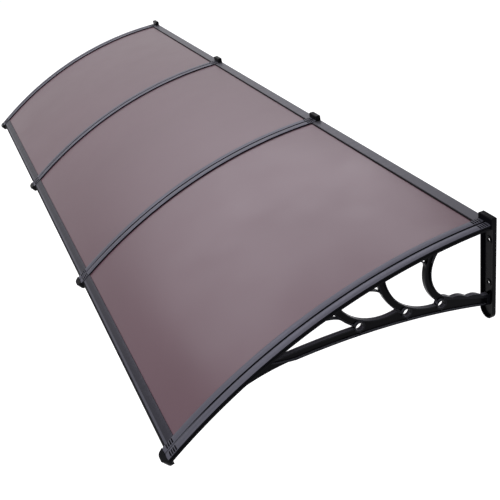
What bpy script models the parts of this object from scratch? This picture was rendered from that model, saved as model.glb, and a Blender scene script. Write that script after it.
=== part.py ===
"""Polycarbonate door canopy: moulded brackets, curved sheets and the strips that hold them together.

Metres, +Z up. The wall is the plane Y = 0 and the canopy reaches forward along -Y, so a side outline is
drawn as (run, height) with run = -Y. Height 0 is the top of the arms at the wall. Run with
blender --background --python part.py, or from Blender's text editor.
"""

import math

import bmesh
import bpy
from mathutils import Vector

# The whole canopy
PANELS = 3
PITCH = 1.0  # from one bracket to the next
RUN = 1.0  # from the wall to the inner face of the noses
DROP = 0.33  # fall of the arms over that run
FIT = 0.0003  # clearance between pieces that touch
BENDS = 16  # straight stretches in the arc, at the same places in every piece

# Upper arm: a channel, open downward, with the core inside it
ARM_WIDTH = 0.048
FLANGE = 0.003
LIP = 0.0025
LIP_DEPTH = 0.007

# Core: the scrollwork between the arms, an I section with rims and a thin web
CORE_WIDTH = 0.014
WEB = 0.0035
RIM = 0.0035
ARM_CORE_DEPTH = 0.012

# Lower arm: an arch whose top is the height ARCH_TOP, at the run ARCH_TOP_RUN
ARCH_TOP_RUN = 0.56
ARCH_TOP = -0.189
ARCH_FOOT = -0.266
LOWER_ARM_DEPTH = 0.028
JUNCTION_ROUND = 0.045
BAND_KNEE_ALONG = 0.55  # where the bottom rim bends up to the upper arm, as shares of its way
BAND_KNEE_UP = 0.15

# Gusset: the thin corner outside that rim, around the place where the two arms meet
GUSSET_BEHIND = 0.088
GUSSET_AHEAD = 0.172
GUSSET_DEPTH = 0.015

# Scrolls, from the wall outward
BOSS_RUNS = (0.167, 0.278, 0.424)
CENTRES_BEHIND = (0.0765, 0.102, 0.082)  # from each boss to the centre of its scroll
CENTRES_ABOVE = (0.104, 0.148, 0.147)
BOSSES_OUTSIDE = (0.0241, 0.0168, 0.0203)  # from the inner edge of each scroll to its boss
SCROLL_BAND = 0.022
FORK_DROP = 0.047
FORK_REACH = 0.045
FORK_RIB = 0.0045
BOSS_RISE = 0.0285
BOSS_RADIUS = 0.0165
BOSS_HOLE_RADIUS = 0.012
BOSS_PROUD = 0.001
BOSS_RIB = 0.004  # upright rib in the lower arm under each boss
CORNER_ROUND = 0.005

# Leafy waves on the lower arm, between the first scroll and the wall plate
WAVE_START = 0.158
WAVE_RISE = 0.038  # of the last wave, over the lower arm's bottom edge at the wall
WAVE_HEIGHT = 0.0065
WAVES = 3

# Wall plate and its cap
PLATE_WIDTH = 0.054
PLATE_DEPTH = 0.012
PLATE_BOTTOM = -0.31
PLATE_RIM = 0.004
PLATE_BACK = 0.004
CAP_OVERHANG = 0.001  # past the plate, on each side
CAP_DEPTH = 0.018
CAP_BACK = 0.002  # the cap's back edge stands this far off the wall
CAP_TOP = 0.027
CAP_BOTTOM = -0.006
CAP_ROUND = 0.004
BOLT_HEIGHTS = (-0.052, -0.192)
BOLT_HOLE_RADIUS = 0.006
BOLT_PAD_RADIUS = 0.011
BOLT_PAD_DEPTH = 0.006

# Nose: a rounded tongue on the end plate that closes the front end of the arm
END_PLATE = 0.003
NOSE_WIDTH = 0.044
NOSE_LENGTH = 0.018  # past the end plate
NOSE_ABOVE = 0.0115
NOSE_BELOW = 0.016
NOSE_ROUND = 0.008

# Sheets
SHEET = 0.003
SHEET_TO_NOSE = 0.012
EXPANSION_GAP = 0.0005  # between a sheet and the tongue of a pressing strip

# Pressing strips: a T section, its tongue standing on the arm between two sheets
STRIP_OVERHANG = 0.002  # past the arm, on each side
TONGUE_WIDTH = 0.006
STRIP_EDGE = 0.003
STRIP_CROWN = 0.006
STRIP_SHOULDER = 0.005
SHOULDER_REACH = 0.0025
GROOVE_WIDTH = 0.007
GROOVE_SLOPE = 0.001
GROOVE_FLOOR = 0.003
BAR_LENGTH = 0.016
BAR_WIDTH = 0.003
BAR_STEP = 0.007
BAR_SINK = 0.002
BARS = 4
BARS_FROM_FRONT = 0.014
BARS_FROM_WALL = 0.008

# Rear strips and their gaskets
REAR_REACH = 0.034
REAR_WALL = 0.002
REAR_BEVEL = 0.0008
REAR_FOOT_REACH = 0.026
GASKET = 0.001
GASKET_REACH = 0.014
GASKET_EDGE = 0.004
GASKET_BEVEL = 0.001

# Front strips and their edge seals
FRONT_REACH = 0.030
FRONT_WALL = 0.0022
FRONT_CROWN = 0.0009
FRONT_FOOT_REACH = 0.016
FRONT_NOSE = 0.006
FRONT_BEVEL = 0.0008
SEAL = 0.005

# Steps in the curves
UNDERSIDE_STEPS = 3
ARCH_STEPS = 14
GUSSET_STEPS = 6
BAND_STEPS = 4
FIRST_SCROLL_STEPS = 9
SCROLL_STEPS = 7
OUTER_STEPS = 6
RECESS_STEPS = 4
WAVE_STEPS = 4
CORNER_STEPS = 3
NOSE_STEPS = 8
PLATE_END_STEPS = 10
SEAL_STEPS = 4
BOSS_SIDES = 15
HOLE_SIDES = 10
BOLT_SIDES = 8

SEAT_RADIUS = (RUN**2 + DROP**2) / (2 * DROP)
SEAT_CENTRE = Vector((0, -SEAT_RADIUS))
UNDER_RADIUS = SEAT_RADIUS - ARM_CORE_DEPTH
ARCH_FALL = ARCH_TOP - ARCH_FOOT
ARCH_RADIUS = (ARCH_TOP_RUN**2 + ARCH_FALL**2) / (2 * ARCH_FALL)
ARCH_CENTRE = Vector((ARCH_TOP_RUN, ARCH_TOP - ARCH_RADIUS))
NOSE_ANGLE = math.asin(RUN / SEAT_RADIUS)
SHEET_ANGLE = NOSE_ANGLE - SHEET_TO_NOSE / SEAT_RADIUS
CAP_ANGLE = math.asin((CAP_DEPTH + FIT) / SEAT_RADIUS)
STRIP_WIDTH = ARM_WIDTH + 2 * STRIP_OVERHANG
SHEET_FACE = FIT + SHEET
STRIP_BASE = SHEET_FACE + FIT
SCROLLS = [
    (run, behind, above, math.hypot(behind, above) - outside)
    for run, behind, above, outside in zip(
        BOSS_RUNS, CENTRES_BEHIND, CENTRES_ABOVE, BOSSES_OUTSIDE, strict=True
    )
]
BRACKET_PLACES = [(i - PANELS / 2) * PITCH for i in range(PANELS + 1)]


def clear_scene():
    for obj in list(bpy.data.objects):
        bpy.data.objects.remove(obj)


def side(point, x):
    """A (run, height) point of a side outline, at the place x along the canopy."""
    return (x, -point[0], point[1])


def front(point, run):
    """An (x, height) point of an outline seen from the front, at this run."""
    return (point[0], -run, point[1])


def on_seat(angle, rise):
    """The side point at this rise above the seat of the arms, at this angle from the wall."""
    radius = SEAT_RADIUS + rise
    return SEAT_CENTRE + radius * Vector((math.sin(angle), math.cos(angle)))


def on_bends(angle, rise):
    """Like on_seat, on the straight stretches that the arc is made of."""
    step = NOSE_ANGLE / BENDS
    bend_before = math.floor(angle / step + 1e-6)
    start, end = on_seat(bend_before * step, rise), on_seat((bend_before + 1) * step, rise)
    return start.lerp(end, angle / step - bend_before)


def seat_angle(run, rise=0.0):
    return math.asin(run / (SEAT_RADIUS + rise))


def over_arch(run, rise=0.0):
    """The side point at this run on a curve that lies this far above the lower arm's bottom edge."""
    radius = ARCH_RADIUS + rise
    return Vector((run, ARCH_CENTRE.y + math.sqrt(radius**2 - (run - ARCH_TOP_RUN) ** 2)))


def under_circle(run, centre, radius):
    """The side point at this run on the lower half of a circle."""
    return Vector((run, centre.y - math.sqrt(radius**2 - (run - centre.x) ** 2)))


def crossings(centre, radius, other, other_radius):
    """The two points where two circles cross."""
    away = other - centre
    along = (radius**2 - other_radius**2 + away.length_squared) / (2 * away.length)
    across = math.sqrt(radius**2 - along**2)
    foot = centre + along * away.normalized()
    normal = Vector((-away.y, away.x)).normalized()
    return foot + across * normal, foot - across * normal


def foremost(points):
    return max(points, key=lambda point: point.x)


def lowest(points):
    return min(points, key=lambda point: point.y)


def arc(centre, start, end, steps):
    """Points from start to end, the short way round a centre."""
    first = math.atan2(*(start - centre).yx)
    turn = math.atan2(*(end - centre).yx) - first
    turn = (turn + math.pi) % (2 * math.pi) - math.pi
    radius = (start - centre).length
    angles = [first + turn * k / steps for k in range(steps + 1)]
    return [centre + radius * Vector((math.cos(a), math.sin(a))) for a in angles]


def seat_arc(first, last, rise, steps):
    return [on_seat(first + (last - first) * k / steps, rise) for k in range(steps + 1)]


def along_curve(curve_at, first, last, steps):
    """Points of a curve that is given as a function of the run."""
    return [curve_at(first + (last - first) * k / steps) for k in range(steps + 1)]


def curve(start, knee, end, steps=CORNER_STEPS):
    """A curve from start to end that heads for the knee at both ends."""
    shares = [k / steps for k in range(steps + 1)]
    return [start.lerp(knee, s).lerp(knee.lerp(end, s), s) for s in shares]


def shortened(points, cut):
    """The polyline with this much length taken off its start."""
    for a, b in zip(points, points[1:]):
        step = (b - a).length
        if step > cut:
            rest = points[points.index(b) :]
            return [a.lerp(b, cut / step)] + rest
        cut -= step
    return points[-1:]


def joined(*pieces):
    """One closed outline from (polyline, rounding of the corner after it) pairs."""
    outline = []
    for k, (points, rounding) in enumerate(pieces):
        following = pieces[(k + 1) % len(pieces)][0]
        kept = shortened(points, pieces[k - 1][1])
        kept = shortened(kept[::-1], rounding)[::-1]
        outline += kept
        if rounding:
            onward = shortened(following, rounding)
            outline += curve(kept[-1], points[-1], onward[0])[1:-1]
    return without_doubles(outline)


def without_doubles(outline, least=1e-5):
    return [p for p, q in zip(outline, outline[1:] + outline[:1]) if (q - p).length > least]


def mesh_object(name, corners, faces):
    mesh = bpy.data.meshes.new(name)
    mesh.from_pydata(corners, [], faces)
    work = bmesh.new()
    work.from_mesh(mesh)
    bmesh.ops.recalc_face_normals(work, faces=work.faces)
    work.to_mesh(mesh)
    work.free()
    obj = bpy.data.objects.new(name, mesh)
    bpy.context.scene.collection.objects.link(obj)
    return obj


def tube_faces(rings, count):
    """Faces of a closed solid whose rings of count corners follow each other."""
    faces = [tuple(range(count)), tuple(range((rings - 1) * count, rings * count))]
    for ring in range(rings - 1):
        low = ring * count
        for k in range(count):
            after = (k + 1) % count
            faces.append((low + k, low + after, low + count + after, low + count + k))
    return faces


def prism(name, outline, placed, low, high):
    """A solid with this outline, between two depths along the axis that placed adds."""
    corners = [placed(point, depth) for depth in (low, high) for point in outline]
    return mesh_object(name, corners, tube_faces(2, len(outline)))


def swept(name, section, first, last):
    """A solid whose (x, rise) section runs along the seat arc, bent where every other piece is."""
    step = NOSE_ANGLE / BENDS
    inner = [k * step for k in range(1, BENDS + 1) if first < k * step - 1e-6 < last - 2e-6]
    corners = []
    for angle in [first, *inner, last]:
        corners += [side(on_bends(angle, rise), x) for x, rise in section]
    return mesh_object(name, corners, tube_faces(len(inner) + 2, len(section)))


def cylinder(name, centre, radius, placed, low, high, sides):
    turns = [2 * math.pi * (k + 0.5) / sides for k in range(sides)]
    outline = [centre + radius * Vector((math.cos(a), math.sin(a))) for a in turns]
    return prism(name, outline, placed, low, high)


def merged(name, objects):
    """One object that holds the meshes of several helpers, which don't touch each other."""
    work = bmesh.new()
    for obj in objects:
        work.from_mesh(obj.data)
        bpy.data.objects.remove(obj)
    mesh = bpy.data.meshes.new(name)
    work.to_mesh(mesh)
    work.free()
    obj = bpy.data.objects.new(name, mesh)
    bpy.context.scene.collection.objects.link(obj)
    return obj


def carve(target, steps):
    """Applies (operation, tool) Booleans in turn and removes the tools."""
    for k, (operation, tool) in enumerate(steps):
        modifier = target.modifiers.new(f"{operation.lower()} {k}", "BOOLEAN")
        modifier.operation = operation
        modifier.object = tool
        modifier.solver = "EXACT"
        tool.hide_render = True
        tool.display_type = "WIRE"
    graph = bpy.context.evaluated_depsgraph_get()
    mesh = bpy.data.meshes.new_from_object(target.evaluated_get(graph))
    target.modifiers.clear()
    target.data = mesh
    for _, tool in steps:
        bpy.data.objects.remove(tool)


def material(name, colour, roughness, metallic=0.0):
    made = bpy.data.materials.new(name)
    made.use_nodes = True
    shader = made.node_tree.nodes["Principled BSDF"]
    shader.inputs["Base Color"].default_value = (*colour, 1)
    shader.inputs["Roughness"].default_value = roughness
    shader.inputs["Metallic"].default_value = metallic
    return made


def boss_centre(scroll):
    return over_arch(scroll[0], BOSS_RISE)


def scroll_centre(scroll):
    boss_run, behind, above, _ = scroll
    return boss_centre(scroll) + Vector((-behind, above))


def under_arm(run):
    """The point at this run on the lower edge of the core in the upper arm."""
    return on_seat(seat_angle(run, -ARM_CORE_DEPTH), -ARM_CORE_DEPTH)


def arm_underside(start, end, steps=UNDERSIDE_STEPS):
    """That lower edge between two of its points."""
    return arc(SEAT_CENTRE, start, end, steps)


def junction():
    """The front corner of the last opening, where the two arms meet."""
    return foremost(
        crossings(ARCH_CENTRE, ARCH_RADIUS + LOWER_ARM_DEPTH, SEAT_CENTRE, UNDER_RADIUS)
    )


def fork(scroll):
    """Where a scroll's outer edge leaves its circle, the top of the circle, and the branch's tip."""
    centre = scroll_centre(scroll)
    outer = scroll[3] + SCROLL_BAND
    top = foremost(crossings(centre, outer, SEAT_CENTRE, UNDER_RADIUS))
    from_centre = math.atan2(*(top - centre).yx) - FORK_DROP / outer
    parting = centre + outer * Vector((math.cos(from_centre), math.sin(from_centre)))
    return parting, top, under_arm(top.x + FORK_REACH)


def fork_branch(scroll, inset=0.0):
    """The forward edge of a fork, from the parting up to the arm; inset moves it back by a rib."""
    parting, top, tip = fork(scroll)
    back = inset * (top - tip).normalized()
    return curve(parting + back, parting.lerp(top, 0.5) + back, tip + back)


def rear_opening():
    """Between the wall plate and the first scroll, with the leafy waves at its foot."""
    scroll = SCROLLS[0]
    centre, radius = scroll_centre(scroll), scroll[3]
    top = foremost(crossings(centre, radius, SEAT_CENTRE, UNDER_RADIUS))
    wall_top = under_arm(PLATE_BACK - RIM / 2)
    foot = under_circle(WAVE_START, centre, radius)
    wall_foot = Vector((wall_top.x, ARCH_FOOT + WAVE_RISE))
    waves = []
    for k in range(WAVE_STEPS * WAVES + 1):
        dip = WAVE_HEIGHT * (1 - abs(math.cos(math.pi * k / WAVE_STEPS)))
        waves.append(foot.lerp(wall_foot, k / (WAVE_STEPS * WAVES)) - Vector((0, dip)))
    return joined(
        (arm_underside(wall_top, top), CORNER_ROUND),
        (arc(centre, top, foot, FIRST_SCROLL_STEPS), 0),
        (waves, 0),
        ([wall_foot, wall_top], 0),
    )


def scroll_opening(scroll, following):
    """Between one scroll and the next one outward, down to the lower arm."""
    inner, inner_radius = scroll_centre(following), following[3]
    outer, outer_radius = scroll_centre(scroll), scroll[3] + SCROLL_BAND
    parting, _, tip = fork(scroll)
    top = foremost(crossings(inner, inner_radius, SEAT_CENTRE, UNDER_RADIUS))
    foot = lowest(crossings(inner, inner_radius, outer, outer_radius))
    return joined(
        (arm_underside(tip, top), CORNER_ROUND),
        (arc(inner, top, foot, SCROLL_STEPS), CORNER_ROUND),
        (arc(outer, foot, parting, OUTER_STEPS), 0),
        (fork_branch(scroll), 0),
    )


def front_opening():
    """Between the last scroll and the place where the two arms meet."""
    scroll = SCROLLS[-1]
    centre, radius = scroll_centre(scroll), scroll[3] + SCROLL_BAND
    parting, _, tip = fork(scroll)
    foot = foremost(crossings(ARCH_CENTRE, ARCH_RADIUS + LOWER_ARM_DEPTH, centre, radius))
    return joined(
        (arm_underside(tip, junction()), JUNCTION_ROUND),
        (arc(ARCH_CENTRE, junction(), foot, RECESS_STEPS), CORNER_ROUND),
        (arc(centre, foot, parting, OUTER_STEPS), 0),
        (fork_branch(scroll), 0),
    )


def fork_opening(scroll):
    """The small three-cornered gap between a scroll and its branch."""
    _, top, tip = fork(scroll)
    branch = fork_branch(scroll, FORK_RIB)
    inner = top + (tip - top).normalized() * FORK_RIB
    return joined((branch[1:], 0), (arm_underside(branch[-1], inner), 0))


def scroll_pocket(scroll):
    """The recess along a scroll's band, between its two rims."""
    centre, radius = scroll_centre(scroll), scroll[3]
    edges = radius + RIM, radius + SCROLL_BAND - RIM
    tops = [foremost(crossings(centre, edge, SEAT_CENTRE, UNDER_RADIUS - RIM)) for edge in edges]
    boss = (boss_centre(scroll) - centre).normalized()
    feet = [centre + edge * boss for edge in edges]
    inner = arc(centre, tops[0], feet[0], OUTER_STEPS)
    outer = arc(centre, feet[1], tops[1], OUTER_STEPS)
    return joined((inner, 0), (outer, 0))


def lens_pocket(scroll, following):
    """The recess in the lower arm between two bosses, under the edges of the scrolls beside it."""
    centre, radius = scroll_centre(following), following[3] + RIM
    behind, behind_radius = scroll_centre(scroll), scroll[3] + SCROLL_BAND + RIM
    near, far = scroll[0] + BOSS_RIB / 2, following[0] - BOSS_RIB / 2
    floor = along_curve(lambda run: over_arch(run, RIM), near, far, RECESS_STEPS)
    corner = max(near, lowest(crossings(centre, radius, behind, behind_radius)).x)
    roof = along_curve(lambda run: under_circle(run, centre, radius), far, corner, RECESS_STEPS)
    if corner > near:
        roof.append(under_circle(near, behind, behind_radius))
    return joined((floor, 0), (roof, 0))


def rear_pocket():
    """The recess in the lower arm between the wall plate and the first boss."""
    near = PLATE_DEPTH + RIM
    far = SCROLLS[0][0] - BOSS_RIB / 2
    foot = under_circle(WAVE_START, scroll_centre(SCROLLS[0]), SCROLLS[0][3])
    under_waves = WAVE_HEIGHT + RIM
    roof = [
        Vector((far, foot.y - under_waves)),
        Vector((near, ARCH_FOOT + WAVE_RISE - under_waves)),
    ]
    floor = along_curve(lambda run: over_arch(run, RIM), near, far, RECESS_STEPS)
    return joined((floor, 0), (roof, 0))


def band_edge(rise):
    """The lower arm's bottom rim where it leaves the arch and climbs to the upper arm."""
    meeting = junction().x
    start, end = over_arch(meeting - GUSSET_BEHIND, rise), under_arm(meeting)
    way = end - start
    knee = start + Vector((BAND_KNEE_ALONG * way.x, BAND_KNEE_UP * way.y))
    return curve(start, knee, end, BAND_STEPS)


def front_pocket():
    """The recess in the lower arm between the last boss and the upper arm."""
    near, far = SCROLLS[-1][0] + BOSS_RIB / 2, junction().x - GUSSET_BEHIND
    floor = along_curve(lambda run: over_arch(run, RIM), near, far, RECESS_STEPS)
    climb = band_edge(RIM)[1:-1]
    top = LOWER_ARM_DEPTH - RIM
    roof = along_curve(lambda run: over_arch(run, top), far, near, RECESS_STEPS)
    return joined((floor + climb, 0), (roof, 0))


def gusset_pocket():
    """Cuts the corner between the two arms, outside the bottom rim, down to the web."""
    edge = [over_arch(junction().x - GUSSET_BEHIND - RIM, -RIM)] + band_edge(0)[1:]
    end = on_seat(NOSE_ANGLE, -ARM_CORE_DEPTH)
    below = end.y - GUSSET_DEPTH - ARM_CORE_DEPTH
    return joined(
        (edge, 0),
        (arm_underside(edge[-1], end, GUSSET_STEPS), 0),
        ([Vector((end.x, below)), Vector((edge[0].x, below))], 0),
    )


def core_outline():
    """The whole side outline of the moulding between the wall plate and the nose."""
    inside = PLATE_BACK / 2
    end = NOSE_ANGLE + END_PLATE / 3 / SEAT_RADIUS
    top = seat_arc(seat_angle(inside), end, -FLANGE / 2, BENDS)
    meeting = junction().x
    last = seat_angle(meeting + GUSSET_AHEAD, -GUSSET_DEPTH)
    nose_end = seat_arc(end, last, -GUSSET_DEPTH, GUSSET_STEPS)
    start = over_arch(meeting - GUSSET_BEHIND)
    heading = Vector((math.cos(last), -math.sin(last)))
    knee = nose_end[-1] - heading * (GUSSET_AHEAD + GUSSET_BEHIND) / 2
    gusset = curve(nose_end[-1], knee, start, GUSSET_STEPS)
    arch = arc(ARCH_CENTRE, start, over_arch(inside), ARCH_STEPS)
    return joined((top, 0), (nose_end, 0), (gusset[1:-1], 0), (arch, 0))


def upper_arm():
    half = ARM_WIDTH / 2
    inner = half - LIP
    right = [(half, 0), (half, -LIP_DEPTH), (inner, -LIP_DEPTH), (inner, -FLANGE)]
    section = right + [(-x, rise) for x, rise in right[::-1]]
    overlap = END_PLATE / 2 / SEAT_RADIUS
    return swept("arm", section, seat_angle(PLATE_DEPTH / 3), NOSE_ANGLE + overlap)


def plate_outline(half, top, bottom):
    """A plate with a fully rounded lower end, seen from the front."""
    centre = Vector((0, bottom + half))
    turns = [math.pi * k / PLATE_END_STEPS for k in range(PLATE_END_STEPS + 1)]
    end = [centre + half * Vector((-math.cos(a), -math.sin(a))) for a in turns]
    return end + [Vector((half, top)), Vector((-half, top))]


def wall_plate():
    half = PLATE_WIDTH / 2
    outline = plate_outline(half, CAP_TOP - CAP_ROUND / 2, PLATE_BOTTOM)
    plate = prism("plate", outline, front, 0, PLATE_DEPTH)
    hollow = plate_outline(half - PLATE_RIM, CAP_BOTTOM - PLATE_RIM, PLATE_BOTTOM + PLATE_RIM)
    carve(plate, [("DIFFERENCE", prism("recess", hollow, front, PLATE_BACK, 2 * PLATE_DEPTH))])
    return plate


def cap():
    half = PLATE_WIDTH / 2 + CAP_OVERHANG
    outline = (-half, CAP_BOTTOM), (half, CAP_BOTTOM), (half, CAP_TOP), (-half, CAP_TOP)
    block = prism("cap", outline, front, CAP_BACK, CAP_DEPTH)
    work = bmesh.new()
    work.from_mesh(block.data)
    rounded = []
    for edge in work.edges:
        high = all(vert.co.z > CAP_TOP - CAP_ROUND for vert in edge.verts)
        at_wall = all(vert.co.y > -CAP_BACK - CAP_ROUND for vert in edge.verts)
        if high and not at_wall:
            rounded.append(edge)
    bmesh.ops.bevel(work, geom=rounded, offset=CAP_ROUND, segments=2, affect="EDGES", profile=0.5)
    work.to_mesh(block.data)
    work.free()
    return block


def nose():
    """The end plate that stops the strip and hides its end, and the tongue on it."""
    along = Vector((math.cos(NOSE_ANGLE), -math.sin(NOSE_ANGLE)))
    up = Vector((math.sin(NOSE_ANGLE), math.cos(NOSE_ANGLE)))
    origin = on_seat(NOSE_ANGLE, 0)
    reach = END_PLATE + NOSE_LENGTH
    low, high = origin - NOSE_BELOW * up, origin + NOSE_ABOVE * up
    far_low, far_high = low + reach * along, high + reach * along
    outline = joined(
        ([low, far_low], NOSE_ROUND),
        ([far_low, far_high], NOSE_ROUND),
        ([far_high, high], 0),
    )
    turns = [math.pi * k / NOSE_STEPS for k in range(NOSE_STEPS + 1)]
    plan = [(NOSE_WIDTH / 2 * math.cos(a), END_PLATE + NOSE_LENGTH * math.sin(a)) for a in turns]
    half = ARM_WIDTH / 2
    plan += [(-half, END_PLATE), (-half, -reach), (half, -reach), (half, END_PLATE)]

    def above_plan(point, rise):
        return side(origin + point[1] * along + rise * up, point[0])

    block = prism("nose", outline, side, -ARM_WIDTH, ARM_WIDTH)
    column = prism("plan", plan, above_plan, -2 * NOSE_BELOW, 2 * NOSE_ABOVE)
    carve(block, [("INTERSECT", column)])
    return block


def pocket_cutters(outlines):
    """Cut recesses with these outlines from both sides of the core, down to its web."""
    depths = (-CORE_WIDTH, -WEB / 2), (WEB / 2, CORE_WIDTH)
    return [prism("pocket", outline, side, *depth) for outline in outlines for depth in depths]


def bracket_mesh():
    half = CORE_WIDTH / 2
    core = prism("core", core_outline(), side, -half, half)
    pairs = list(zip(SCROLLS, SCROLLS[1:]))
    openings = [rear_opening(), front_opening()]
    openings += [scroll_opening(a, b) for a, b in pairs]
    openings += [fork_opening(scroll) for scroll in SCROLLS]
    scroll_pockets = [scroll_pocket(scroll) for scroll in SCROLLS]
    arm_pockets = [rear_pocket(), front_pocket(), gusset_pocket()]
    arm_pockets += [lens_pocket(a, b) for a, b in pairs]
    windows = [prism("window", outline, side, -CORE_WIDTH, CORE_WIDTH) for outline in openings]
    steps = [
        ("DIFFERENCE", merged("windows", windows)),
        ("DIFFERENCE", merged("scroll pockets", pocket_cutters(scroll_pockets))),
        ("DIFFERENCE", merged("arm pockets", pocket_cutters(arm_pockets))),
        ("UNION", upper_arm()),
        ("UNION", wall_plate()),
        ("UNION", cap()),
        ("UNION", nose()),
    ]
    rounds, drills = [], []
    proud = half + BOSS_PROUD
    for scroll in SCROLLS:
        spot = boss_centre(scroll)
        rounds.append(cylinder("boss", spot, BOSS_RADIUS, side, -proud, proud, BOSS_SIDES))
        drills.append(
            cylinder("drill", spot, BOSS_HOLE_RADIUS, side, -CORE_WIDTH, CORE_WIDTH, HOLE_SIDES)
        )
    for height in BOLT_HEIGHTS:
        spot, radius = Vector((0, height)), BOLT_HOLE_RADIUS
        rounds.append(
            cylinder("pad", spot, BOLT_PAD_RADIUS, front, PLATE_BACK / 2, BOLT_PAD_DEPTH, HOLE_SIDES)
        )
        drills.append(
            cylinder("drill", spot, radius, front, -PLATE_DEPTH, 2 * PLATE_DEPTH, BOLT_SIDES)
        )
    steps += [("UNION", merged("rounds", rounds)), ("DIFFERENCE", merged("drills", drills))]
    carve(core, steps)
    mesh = core.data
    mesh.name = "bracket"
    bpy.data.objects.remove(core)
    return mesh


def strip_section():
    """(x, rise) of a pressing strip: two crowned bands, a groove between them and a tongue below."""
    half, tongue, groove = STRIP_WIDTH / 2, TONGUE_WIDTH / 2, GROOVE_WIDTH / 2
    right = [
        (tongue, FIT),
        (tongue, STRIP_BASE),
        (half, STRIP_BASE),
        (half, STRIP_BASE + STRIP_EDGE),
        (half - SHOULDER_REACH, STRIP_BASE + STRIP_SHOULDER),
        ((half + groove) / 2, STRIP_BASE + STRIP_CROWN),
        (groove, STRIP_BASE + STRIP_SHOULDER),
        (groove - GROOVE_SLOPE, STRIP_BASE + GROOVE_FLOOR),
    ]
    return right + [(-x, rise) for x, rise in right[::-1]]


def bar_cutter(place, middle):
    """Cuts one of the short bars across a pressing strip."""
    top = STRIP_BASE + STRIP_CROWN
    width = BAR_WIDTH / 2 / SEAT_RADIUS
    turns = place - width, place + width
    outline = [on_bends(angle, top - BAR_SINK) for angle in turns]
    outline += [on_bends(angle, top + BAR_SINK) for angle in turns[::-1]]
    return prism("bar", outline, side, middle - BAR_LENGTH / 2, middle + BAR_LENGTH / 2)


def strip_mesh():
    last = NOSE_ANGLE - FIT / SEAT_RADIUS
    strip = swept("strip", strip_section(), CAP_ANGLE, last)
    middle = (STRIP_WIDTH + GROOVE_WIDTH) / 4
    bars = []
    for k in range(BARS):
        from_front = last - (BARS_FROM_FRONT + k * BAR_STEP) / SEAT_RADIUS
        from_wall = CAP_ANGLE + (BARS_FROM_WALL + k * BAR_STEP) / SEAT_RADIUS
        for place in (from_front, from_wall):
            bars += [bar_cutter(place, -middle), bar_cutter(place, middle)]
    carve(strip, [("DIFFERENCE", merged("bars", bars))])
    mesh = strip.data
    mesh.name = "press_strip"
    bpy.data.objects.remove(strip)
    return mesh


def on_sheet(run):
    """The height of the underside of what lies on the sheets, at this run."""
    return on_bends(seat_angle(run), STRIP_BASE).y


def rear_section():
    """Side outline of a rear strip: a channel over the sheet's rear edge, flat against the wall."""
    foot = on_bends(seat_angle(REAR_FOOT_REACH), 0).y
    roof = on_sheet(REAR_REACH - GASKET_REACH) + GASKET + FIT
    top = roof + REAR_WALL
    return [
        (0, foot - REAR_WALL),
        (REAR_FOOT_REACH, foot - REAR_WALL),
        (REAR_FOOT_REACH, foot),
        (REAR_WALL, foot),
        (REAR_WALL, roof),
        (REAR_REACH, roof),
        (REAR_REACH, top - REAR_BEVEL),
        (REAR_REACH - REAR_BEVEL, top),
        (0, top),
    ]


def gasket_section():
    """Side outline of a gasket: a foot under the rear strip's front edge and an upstand before it."""
    back, inner = REAR_REACH - GASKET_REACH, REAR_REACH + FIT
    outer = inner + GASKET_EDGE
    roof = on_sheet(back) + GASKET
    top = roof + REAR_WALL
    return [
        (back, on_sheet(back)),
        (outer, on_sheet(outer)),
        (outer, top - GASKET_BEVEL),
        (outer - GASKET_BEVEL, top),
        (inner, top),
        (inner, roof),
        (back, roof),
    ]


def at_sheet_front(along, rise):
    """A side point along and above the arc's last straight stretch, from the sheets' front edge."""
    origin = on_bends(SHEET_ANGLE, 0)
    heading = (on_seat(NOSE_ANGLE, 0) - origin).normalized()
    return origin + along * heading + rise * Vector((-heading.y, heading.x))


def front_section():
    """Side outline of a front strip: a channel over the sheet's front edge, with a round nose."""
    roof, top, bevel = STRIP_BASE, STRIP_BASE + FRONT_WALL, FRONT_BEVEL
    inside = 2 * FIT
    corners = [
        (-FRONT_FOOT_REACH, -FRONT_WALL),
        (FRONT_NOSE, -FRONT_WALL),
        (FRONT_NOSE, top - 2 * bevel),
        (FRONT_NOSE - bevel, top - bevel),
        (FRONT_NOSE - 3 * bevel, top),
        ((FRONT_NOSE - FRONT_REACH) / 2, top + FRONT_CROWN),
        (bevel - FRONT_REACH, top),
        (-FRONT_REACH, top - bevel / 2),
        (-FRONT_REACH, roof),
        (inside, roof),
        (inside, 0),
        (-FRONT_FOOT_REACH, 0),
    ]
    return [at_sheet_front(*corner) for corner in corners]


def seal_section():
    """Side outline of an edge seal: a half-round bead on the nose of a front strip."""
    low, high = -FRONT_WALL, STRIP_BASE + FRONT_WALL - 2 * FRONT_BEVEL
    back = FRONT_NOSE + FIT
    middle, half = (low + high) / 2, (high - low) / 2
    turns = [math.pi * k / SEAL_STEPS - math.pi / 2 for k in range(SEAL_STEPS + 1)]
    return [at_sheet_front(back + SEAL * math.cos(a), middle + half * math.sin(a)) for a in turns]


def add(name, mesh, x):
    obj = bpy.data.objects.new(name, mesh)
    obj.location.x = x
    bpy.context.scene.collection.objects.link(obj)


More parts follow.
